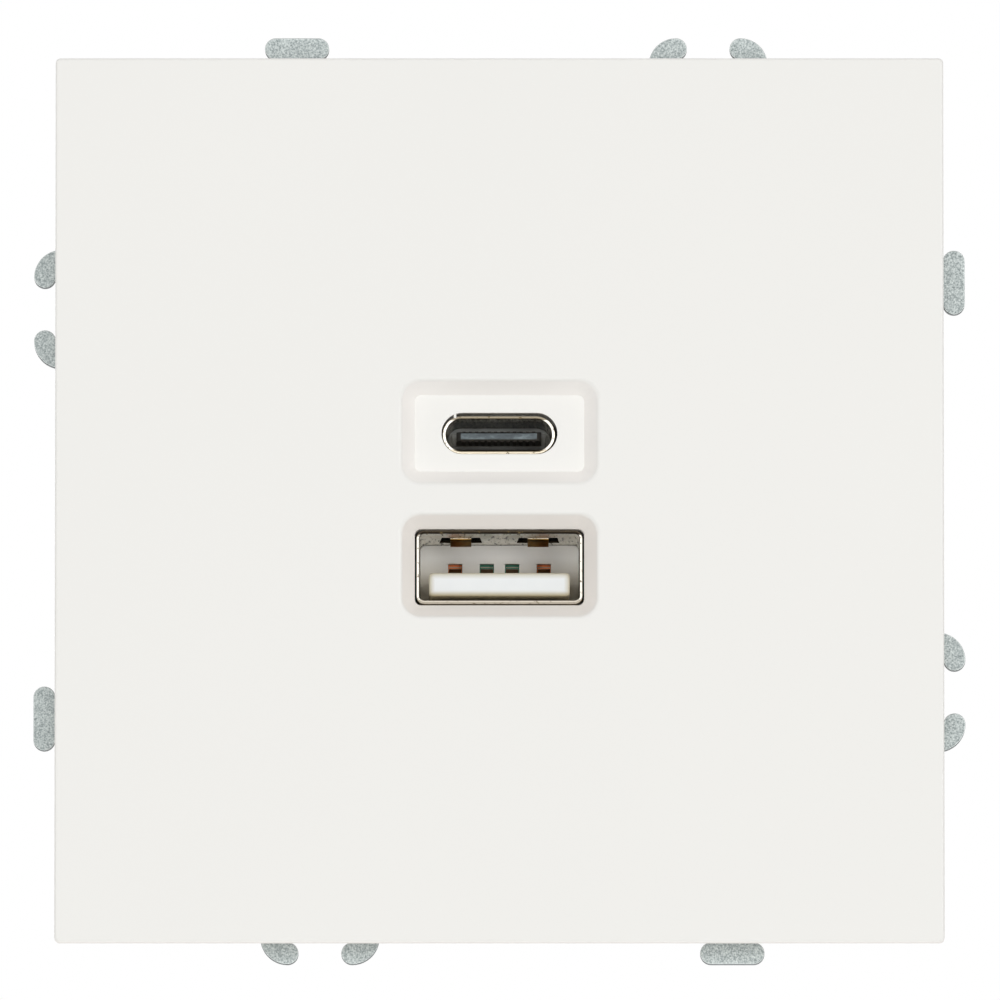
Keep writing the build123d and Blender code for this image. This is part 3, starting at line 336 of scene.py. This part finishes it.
def nickelSheet(node):
    shell, look = shells[node], nickelLook
    material, tree, shader, place = startMaterial("steelNickelPlated" + node[4].upper(), Metallic=1.0)
    low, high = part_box(node)
    sheet, lip = shell["sheet"] * mm, shell["lipDepth"] * mm
    axes = addNode(tree, "SeparateXYZ", {0: place}).node.outputs
    inwards = insideOutline(tree, place, low, high, shell["corner"] * mm)
    pattern = {}
    for kind in ("pit", "grain"):
        drawn = addNode(tree, "Mapping", {"Vector": place, "Scale": look[kind + "Stretch"]})
        noiseInputs = {"Vector": drawn, "Scale": perMm(look[kind]), "Detail": look[kind + "Detail"]}
        pattern[kind] = addNode(tree, "TexNoise", noiseInputs, "Fac")
    cutStart, cutEnd = look["cutBand"]
    bands = {
        "behindLip": (axes["Y"], low.y + lip * look["lipFade"], low.y + lip),
        "nearRoof": (axes["Z"], *(high.z - sheet * share for share in look["wallBand"])),
        "floor": (axes["Z"], *(low.z + sheet * share for share in look["wallBand"])),
        "pastOutside": (inwards, 0.0, sheet * cutStart),
        "beforeInside": (inwards, sheet, sheet * cutEnd),
        "springs": (inwards, *(sheet * share for share in look["springBand"])),
        "across": (inwards, 0.0, sheet),
        "upperRim": (axes["Z"], *(high.z - sheet * share for share in look["rimBand"])),
        "lowerRim": (axes["Z"], *(low.z + sheet * share for share in look["rimBand"])),
        "pitted": (pattern["pit"], *look["pitLevels"]),
        "mouth": (axes["Y"], *(low.y + depth * mm for depth in look["rimDepth"])),
    }
    band = {name: addNode(tree, "MapRange", {"Value": value, "From Min": start, "From Max": end})
            for name, (value, start, end) in bands.items()}
    roof = addNode(tree, "Math", {0: band["behindLip"], 1: band["nearRoof"]}, operation="MULTIPLY")
    cut = addNode(tree, "Math", {0: band["pastOutside"], 1: band["beforeInside"]}, operation="MULTIPLY")
    springInputs = {"Vector": place, "Scale": perMm(look["springCloud"]), "Detail": fineDetail}
    springCloud = addNode(tree, "TexNoise", springInputs, "Fac")
    springTone = addNode(tree, "ValToRGB", {"Fac": springCloud}, stops=look["springTones"])
    # Painted shade: the roof behind the lip takes darker copies of the wall tones
    inner, roofShadeTone = (addNode(tree, "ValToRGB", {"Fac": pattern["pit"]}, stops=shell[part])
                       for part in ("walls", "roof"))
    # Painted highlight and shade across the rim: a bright line between dark lines on the sides, dark along the top,
    # darker inside along the bottom
    rimLightAndPits, top, bottom = (addNode(tree, "ValToRGB", {"Fac": band["across"]}, stops=shell[part])
                        for part in ("side", "top", "bottom"))
    # Inside the shell and on its rim, each tone is laid over those before it
    for factor, tone in ((roof, roofShadeTone), (band["floor"], look["floorTone"]), (band["springs"], springTone),
                         (cut, look["cutTone"])):
        inner = addNode(tree, inputs={0: factor, 6: inner, 7: tone}, **toneMix)
    for factor, tone in ((band["upperRim"], top), (band["lowerRim"], bottom), (band["pitted"], look["pitTone"])):
        rimLightAndPits = addNode(tree, inputs={0: factor, 6: rimLightAndPits, 7: tone}, **toneMix)
    smooth, dull = look["roughness"]
    bumpInputs = {"Height": pattern["grain"], "Distance": look["grainDepth"] * mm, "Strength": look["grainStrength"]}
    fillSockets(tree, shader, {
        "Base Color": addNode(tree, inputs={0: band["mouth"], 6: inner, 7: rimLightAndPits}, **toneMix),
        "Roughness": addNode(tree, "MapRange", {"Value": pattern["grain"], "To Min": smooth, "To Max": dull}),
        "Normal": addNode(tree, "Bump", bumpInputs),
    })
    return material


# The nose of the lower tongue, for its finish and for its rounded edges, in mm
tongueEdge = {"reach": 0.9, "offset": 0.26, "segments": 4, "match": 0.012, "within": 1.0}


def tongueNose():
    solid = nodes["usb_a_insulator"].data
    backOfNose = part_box("usb_a_insulator")[0].y + tongueEdge["reach"] * mm
    near = [vert.co for vert in solid.vertices if vert.co.y < backOfNose]
    return [Vector([pick(co[i] for co in near) for i in range(3)]) for pick in (min, max)]


# PBT, moulded: bright cool white with a silky face, painted shade in cream along its rounded edges and darker along
# its lower edge, and painted shade on the back wall above the tongue
tongueLook = {
    "backTones": ("#FBFAF6", "#FFFFFD"), "backCloud": 2.5, "shadeTone": "#CCC6B9", "shadeUp": (2.0, 0.2),
    "noseTones": ("#E7EAEB", "#EDF0F0"), "noseCloud": 1.5, "noseDepth": (0.6, 0.4),
    "borderTone": "#C6BFAB", "borderCorner": 0.5, "borderWidth": (0.48, 0.05),
    "underTone": "#B4AB92", "underUp": (0.34, 0.05), "grit": 0.12, "gritDepth": 0.003,
}


def tonguePlastic():
    look = tongueLook
    material, tree, shader, place = startMaterial("pbtWhite", IOR=1.56, Roughness=0.42)
    axes = addNode(tree, "SeparateXYZ", {0: place}).node.outputs
    low, high = tongueNose()
    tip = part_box("usb_a_insulator")[0].y
    inwards = insideOutline(tree, place, low, high, look["borderCorner"] * mm)
    bands = {
        "shade": (axes["Z"], *(high.z + up * mm for up in look["shadeUp"])),
        "border": (inwards, *(width * mm for width in look["borderWidth"])),
        "under": (axes["Z"], *(low.z + up * mm for up in look["underUp"])),
        "front": (axes["Y"], *(tip + depth * mm for depth in look["noseDepth"])),
    }
    band = {name: addNode(tree, "MapRange", {"Value": value, "From Min": start, "From Max": end})
            for name, (value, start, end) in bands.items()}
    back = cloudTone(tree, place, look["backCloud"], look["backTones"])
    back = addNode(tree, inputs={0: band["shade"], 6: back, 7: look["shadeTone"]}, **toneMix)
    nose = cloudTone(tree, place, look["noseCloud"], look["noseTones"])
    # Painted shade: cream along the rounded edges of the nose and darker along its lower edge
    nose = addNode(tree, inputs={0: band["border"], 6: nose, 7: look["borderTone"]}, **toneMix)
    nose = addNode(tree, inputs={0: band["under"], 6: nose, 7: look["underTone"]}, **toneMix)
    fillSockets(tree, shader, {
        "Base Color": addNode(tree, inputs={0: band["front"], 6: back, 7: nose}, **toneMix),
        "Normal": gritBump(tree, place, look["grit"], look["gritDepth"]),
    })
    return material


# Liquid-crystal polymer, moulded: charcoal, with painted light making the back block a paler grey, and a painted
# sheen in streaked blue-grey on the nose of the tongue
portLook = {
    "haze": 0.8, "bladeTones": ("#1E1E1D", "#2A2A28"), "blockTones": ("#A8ABA8", "#D2D5D2"),
    "blockDepth": (3.5, 4.5), "blockUp": (-0.7, 0.0), "noseDepth": (0.03, 0.01),
    "streak": 0.35, "streakDetail": 4.0, "streakStretch": (0.5, 1.0, 1.5),
    "polish": {0.32: "#29343A", 0.52: "#424F54", 0.70: "#6C797D"}, "grit": 0.10, "gritDepth": 0.004,
}


def portPlastic():
    look = portLook
    material, tree, shader, place = startMaterial("lcpCharcoal", IOR=1.6, Roughness=0.40)
    axes = addNode(tree, "SeparateXYZ", {0: place}).node.outputs
    low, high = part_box("usb_c_insulator")
    tip, middle = low.y, (low + high) / 2
    bands = {
        "rear": (axes["Y"], *(tip + depth * mm for depth in look["blockDepth"])),
        "upper": (axes["Z"], *(middle.z + up * mm for up in look["blockUp"])),
        "nose": (axes["Y"], *(tip + depth * mm for depth in look["noseDepth"])),
    }
    band = {name: addNode(tree, "MapRange", {"Value": value, "From Min": start, "From Max": end})
            for name, (value, start, end) in bands.items()}
    # Painted light: the back block takes paler tones than the charcoal blade
    blade, block = (cloudTone(tree, place, look["haze"], look[part]) for part in ("bladeTones", "blockTones"))
    onBlock = addNode(tree, "Math", {0: band["rear"], 1: band["upper"]}, operation="MULTIPLY")
    plain = addNode(tree, inputs={0: onBlock, 6: blade, 7: block}, **toneMix)
    # Painted sheen: streaked blue-grey on the nose of the tongue
    drawn = addNode(tree, "Mapping", {"Vector": place, "Scale": look["streakStretch"]})
    streakInputs = {"Vector": drawn, "Scale": perMm(look["streak"]), "Detail": look["streakDetail"]}
    polish = addNode(tree, "ValToRGB", {"Fac": addNode(tree, "TexNoise", streakInputs, "Fac")}, stops=look["polish"])
    fillSockets(tree, shader, {
        "Base Color": addNode(tree, inputs={0: band["nose"], 6: plain, 7: polish}, **toneMix),
        "Normal": gritBump(tree, place, look["grit"], look["gritDepth"]),
    })
    return material


# Glass-fibre laminate with green solder lacquer: fresh green over the copper behind the contacts, and painted shade
# that turns it near black higher up, where it lies in the dark behind the shell
boardLook = {
    "tones": ("#1F6E55", "#2A8467"), "cloud": 3.5, "bareTone": "#0E2B22", "bareUp": (1.6, 2.2),
    "grit": 0.30, "gritDepth": 0.006,
}


def boardLaminate():
    look = boardLook
    material, tree, shader, place = startMaterial("laminateGreenLacquer", IOR=1.5, Roughness=0.35)
    up = addNode(tree, "SeparateXYZ", {0: place}, "Z")
    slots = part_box("usb_a_contacts")[0].z
    start, end = (slots + rise * mm for rise in look["bareUp"])
    # Painted shade: near black above the slots, where the board lies in the dark
    boardShade = addNode(tree, "MapRange", {"Value": up, "From Min": start, "From Max": end})
    copper = cloudTone(tree, place, look["cloud"], look["tones"])
    fillSockets(tree, shader, {
        "Base Color": addNode(tree, inputs={0: boardShade, 6: copper, 7: look["bareTone"]}, **toneMix),
        "Normal": gritBump(tree, place, look["grit"], look["gritDepth"]),
    })
    return material


# Plain stuffs, by the slot or the node that has them: two tones over a cloud, and a grit with its depth in mm
cloudPerGrit = 12
plainLooks = {
    # Phenolic moulding: black with a faint grey haze
    "black_plastic": {"name": "phenolicBlack", "tones": ("#161617", "#232425"), "grit": 0.10, "gritDepth": 0.004,
                      "Roughness": 0.42, "IOR": 1.6},
    # Copper alloy with a gold flash, painted brown as painted shade for the inside of the port: brown metal with a
    # warm gleam
    "gold_plated_contact": {"name": "copperAlloyWornGold", "tones": ("#6E4B28", "#8F6637"), "grit": 0.10,
                            "gritDepth": 0.002, "Roughness": 0.32, "Metallic": 1.0},
    # Brass strip, stamped: yellow metal, slightly tarnished
    "terminal_brass": {"name": "brassStamped", "tones": ("#B08C48", "#CFAE68"), "grit": 0.15, "gritDepth": 0.004,
                       "Roughness": 0.32, "Metallic": 1.0},
    # Sintered manganese-zinc ferrite: dark grey and fine-grained
    "ferrite": {"name": "ferriteSintered", "tones": ("#3A3A3D", "#4A4A4E"), "grit": 0.2, "gritDepth": 0.01,
                "Roughness": 0.5},
    # Polyester tape over a winding: glossy yellow
    "winding_tape": {"name": "polyesterTapeYellow", "tones": ("#D9B02A", "#E6C23C"), "grit": 0.5, "gritDepth": 0.01,
                     "Roughness": 0.3},
    # Shrink sleeve on a can: near-black blue, glossy
    "capacitor_sleeve": {"name": "pvcSleeveDark", "tones": ("#20242E", "#2A2F3A"), "grit": 0.4, "gritDepth": 0.004,
                         "Roughness": 0.3},
    # Dipped epoxy: deep blue with a wavy gloss
    "blue_epoxy": {"name": "epoxyDippedBlue", "tones": ("#2B5EA8", "#3A6DB6"), "grit": 0.6, "gritDepth": 0.02,
                   "Roughness": 0.25},
    # Steatite tube: warm off-white
    "fuse_body": {"name": "steatiteTube", "tones": ("#D9D3C6", "#E4DED2"), "grit": 0.2, "gritDepth": 0.005,
                  "Roughness": 0.45},
    # Palladium-flashed copper alloy, painted dull dark grey-brown as painted shade for the inside of the port
    "usb_c_contacts": {"name": "copperAlloyDarkFlash", "tones": ("#2B2826", "#3A3632"), "grit": 0.10,
                       "gritDepth": 0.002, "Roughness": 0.45, "Metallic": 1.0},
    # Copper foil under clear flux: a warm orange
    "copperLands": {"name": "copperFoilFluxed", "tones": ("#E0763A", "#F08A4A"), "grit": 0.2, "gritDepth": 0.004,
                    "Roughness": 0.5},
    # A pale dull line: a painted highlight along the edge of the contact humps in the slots
    "tinnedLines": {"name": "tinDipped", "tones": ("#A79C88", "#C4BAA6"), "grit": 0.2, "gritDepth": 0.004,
                    "Roughness": 0.45},
}


def plainStuff(name, tones, grit, gritDepth, **sockets):
    material, tree, shader, place = startMaterial(name, **sockets)
    fillSockets(tree, shader, {
        "Base Color": cloudTone(tree, place, grit * cloudPerGrit, tones),
        "Normal": gritBump(tree, place, grit, gritDepth),
    })
    return material


# A piece's own finish comes before that of its slot
finishes = {
    "cover_plastic": coverPlastic(),
    "housing_plastic": housingPlastic(),
    "zinc_plated_steel": zincSteel("steelZincPlated", stamped=False),
    "tongue_plastic": tonguePlastic(),
    "green_board": boardLaminate(),
    "support_frame": zincSteel("steelSheetZincPlated", stamped=True),
    "usb_a_shell": nickelSheet("usb_a_shell"),
    "usb_c_shell": nickelSheet("usb_c_shell"),
    "usb_c_insulator": portPlastic(),
}
finishes.update({key: plainStuff(**look) for key, look in plainLooks.items()})
print("materials ready:", len(finishes))


def finishOf(node):
    return finishes[node] if node in finishes else finishes[slotOf[node]]


def camelName(node):
    return "".join(word.capitalize() if i else word for i, word in enumerate(node.split("_")))


# Meshes: the gap that is merged in mm, and in degrees what is flat, what is rounded and what shades as an edge
meshing = {"merge": 0.001, "flat": 0.5, "round": 40, "roundSegments": 3, "edge": 32}


def placePiece(bm, name, material, body):
    mesh = bpy.data.meshes.new(name)
    bm.to_mesh(mesh)
    bm.free()
    mesh.shade_smooth()
    mesh.set_sharp_from_angle(angle=radians(meshing["edge"]))
    mesh.materials.append(material)
    piece = bpy.data.objects.new(name, mesh)
    bpy.context.scene.collection.objects.link(piece)
    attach(piece, body)
    return piece


# A copy of a solid as whole faces
def mergedCopy(node):
    bm = bmesh.new()
    bm.from_mesh(nodes[node].data)
    bmesh.ops.remove_doubles(bm, verts=bm.verts, dist=meshing["merge"] * mm)
    bmesh.ops.dissolve_limit(bm, angle_limit=radians(meshing["flat"]), verts=bm.verts, edges=bm.edges)
    return bm


# Screw threads: the shank of the copy is drawn in to the core, and a ridge is spun along it that fades at its ends.
# Shank, core and sink are shares of a radius, land, foot and fade shares of the pitch
threads = {
    "pitch": 0.5, "shank": (0.85, 1.02), "core": 0.82, "steps": 24, "land": 0.08, "foot": 0.04, "sink": 0.98,
    "fade": 0.5,
    "radius": {"claw_screw_left": 1.25, "claw_screw_right": 1.25,
               "terminal_screw_live": 1.5, "terminal_screw_neutral": 1.5},
}


def cutThread(bm, node):
    low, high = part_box(node)
    axis = (low + high) / 2
    pitch = threads["pitch"] * mm
    crest = threads["radius"][node] * mm
    core = crest * threads["core"]

    def reachOf(vert):
        return Vector((vert.co.x - axis.x, vert.co.z - axis.z)).length

    def drawIn(vert, share):
        vert.co.x = axis.x + (vert.co.x - axis.x) * share
        vert.co.z = axis.z + (vert.co.z - axis.z) * share

    inner, outer = threads["shank"]
    shank = [vert for vert in bm.verts if inner < reachOf(vert) / crest < outer]
    for vert in shank:
        drawIn(vert, threads["core"])
    start = min(vert.co.y for vert in shank)
    turns = int((max(vert.co.y for vert in shank) - start) / pitch) - 1
    end = start + (turns + 1) * pitch
    land, foot, sunk = threads["land"] * pitch, threads["foot"] * pitch, threads["sink"] * core
    outline = [(sunk, foot), (crest, pitch / 2 - land), (crest, pitch / 2 + land), (sunk, pitch - foot)]
    before = set(bm.verts)
    profile = [bm.verts.new((axis.x + r, start + y, axis.z)) for r, y in outline]
    ring = [bm.edges.new(pair) for pair in zip(profile, profile[1:] + profile[:1])]
    steps = threads["steps"]
    spun = bmesh.ops.spin(bm, geom=profile + ring, cent=(axis.x, 0, axis.z), axis=(0, 1, 0),
                          dvec=(0, pitch / steps, 0), angle=2 * pi * turns, steps=steps * turns, use_merge=False)
    lastRing = [item for item in spun["geom_last"] if isinstance(item, bmesh.types.BMEdge)]
    bmesh.ops.edgeloop_fill(bm, edges=ring + lastRing)
    for vert in set(bm.verts) - before:
        reach = reachOf(vert)
        fade = min(max(min(vert.co.y - start, end - vert.co.y) / pitch - threads["fade"], 0), 1)
        if reach > core:
            drawIn(vert, (core + (reach - core) * fade) / reach)
    bmesh.ops.recalc_face_normals(bm, faces=bm.faces)


# Edge rounding of each piece that shows, in mm
edgeRounds = {
    "support_frame": 0.25, "housing_front": 0.3, "housing_rear": 0.3, "claw_left": 0.14, "claw_right": 0.14,
    "usb_a_shell": 0.07, "usb_c_shell": 0.07, "usb_c_insulator": 0.03,
    "frame_screws": 0.14, "housing_screws": 0.14, "claw_screw_left": 0.14, "claw_screw_right": 0.14,
    "terminal_screw_live": 0.14, "terminal_screw_neutral": 0.14, "claw_pin_left": 0.15, "claw_pin_right": 0.15,
    "terminal_cage_live": 0.1, "terminal_cage_neutral": 0.1,
}


def dressNode(node, rounding):
    bm = mergedCopy(node)
    sharp = [edge for edge in bm.edges
             if len(edge.link_faces) == 2 and edge.calc_face_angle() > radians(meshing["round"])]
    bmesh.ops.bevel(bm, geom=sharp, offset=rounding * mm, offset_type="OFFSET", affect="EDGES",
                    segments=meshing["roundSegments"], profile=0.5, material=-1, clamp_overlap=True)
    if node in threads["radius"]:
        cutThread(bm, node)
    piece = placePiece(bm, camelName(node), finishOf(node), bodyOf[node])
    even = piece.modifiers.new("evenNormals", "WEIGHTED_NORMAL")
    even.keep_sharp = True
    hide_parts(node)


# The lower tongue's long edges are rounded from the back wall to the nose
def dressTongue(node="usb_a_insulator"):
    bm = mergedCopy(node)
    low, high = tongueNose()
    middle, half = (low + high) / 2, (high - low) / 2
    match, within = tongueEdge["match"] * mm, tongueEdge["within"] * mm

    def onCorner(vert):
        inX, inZ = (half[i] - abs(vert.co[i] - middle[i]) for i in (0, 2))
        return abs(inX - inZ) < match and -match < inX + inZ < within

    chain = [edge for edge in bm.edges
             if all(onCorner(vert) for vert in edge.verts) and edge.verts[0].co.y != edge.verts[1].co.y]
    bmesh.ops.bevel(bm, geom=chain, offset=tongueEdge["offset"] * mm, offset_type="OFFSET", affect="EDGES",
                    segments=tongueEdge["segments"], profile=0.5, material=-1, clamp_overlap=True)
    piece = placePiece(bm, camelName(node), finishOf(node), bodyOf[node])
    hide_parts(node)
    print("tongue edges rounded:", len(chain))


for node, rounding in edgeRounds.items():
    dressNode(node, rounding)
dressTongue()
for node, obj in nodes.items():
    if node not in edgeRounds and node != "usb_a_insulator":
        obj.data.materials.clear()
        obj.data.materials.append(finishOf(node))
print("pieces dressed:", len(edgeRounds))


def addBar(bm, centre, size):
    made = bmesh.ops.create_cube(bm, size=1.0)["verts"]
    bmesh.ops.scale(bm, vec=[side * mm for side in size], verts=made)
    bmesh.ops.translate(bm, vec=centre, verts=made)


# What shows of the port board through the slots behind the lower tongue: copper lands at the outer two, and across
# all four a pale line that is a painted highlight for the edge of the contact humps, in mm
portBoard = {
    "outer": (-3.5, 3.5), "inner": (-1.0, 1.0), "land": (1.09, 0.03, 1.2), "landUp": 0.88, "landOut": 0.015,
    "line": (1.0, 0.05, 0.06), "lineUp": 1.28, "lineOut": 0.04,
}


def makePortBoard():
    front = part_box("usb_board")[0].y
    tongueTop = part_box("usb_a_contacts")[0].z  # the strips lie on the tongue
    landY, lineY = (front - portBoard[out] * mm for out in ("landOut", "lineOut"))
    landZ, lineZ = (tongueTop + portBoard[up] * mm for up in ("landUp", "lineUp"))
    lands, highlightBars = bmesh.new(), bmesh.new()
    for x in portBoard["outer"]:
        addBar(lands, (x * mm, landY, landZ), portBoard["land"])
    # Painted highlight: a pale bar across each slot for the edge of the contact hump
    for x in portBoard["outer"] + portBoard["inner"]:
        addBar(highlightBars, (x * mm, lineY, lineZ), portBoard["line"])
    placePiece(lands, "copperLands", finishes["copperLands"], "socket")
    placePiece(highlightBars, "tinnedLines", finishes["tinnedLines"], "socket")


# A nib of moulding flash across the gap at the upper left of the upper port, in mm
flash = {"size": (0.22, 0.30, 0.36), "left": 3.45, "up": 1.50, "round": 0.06, "segments": 3}


def makeFlash():
    low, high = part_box("usb_c_shell")
    middle = (low + high) / 2
    bm = bmesh.new()
    addBar(bm, (middle.x - flash["left"] * mm, low.y, middle.z + flash["up"] * mm), flash["size"])
    bmesh.ops.bevel(bm, geom=bm.edges[:], offset=flash["round"] * mm, affect="EDGES", segments=flash["segments"],
                    profile=0.5, material=-1)
    placePiece(bm, "mouldingFlash", finishes["cover_plastic"], "cover")


makePortBoard()
makeFlash()
print("port board and flash made")
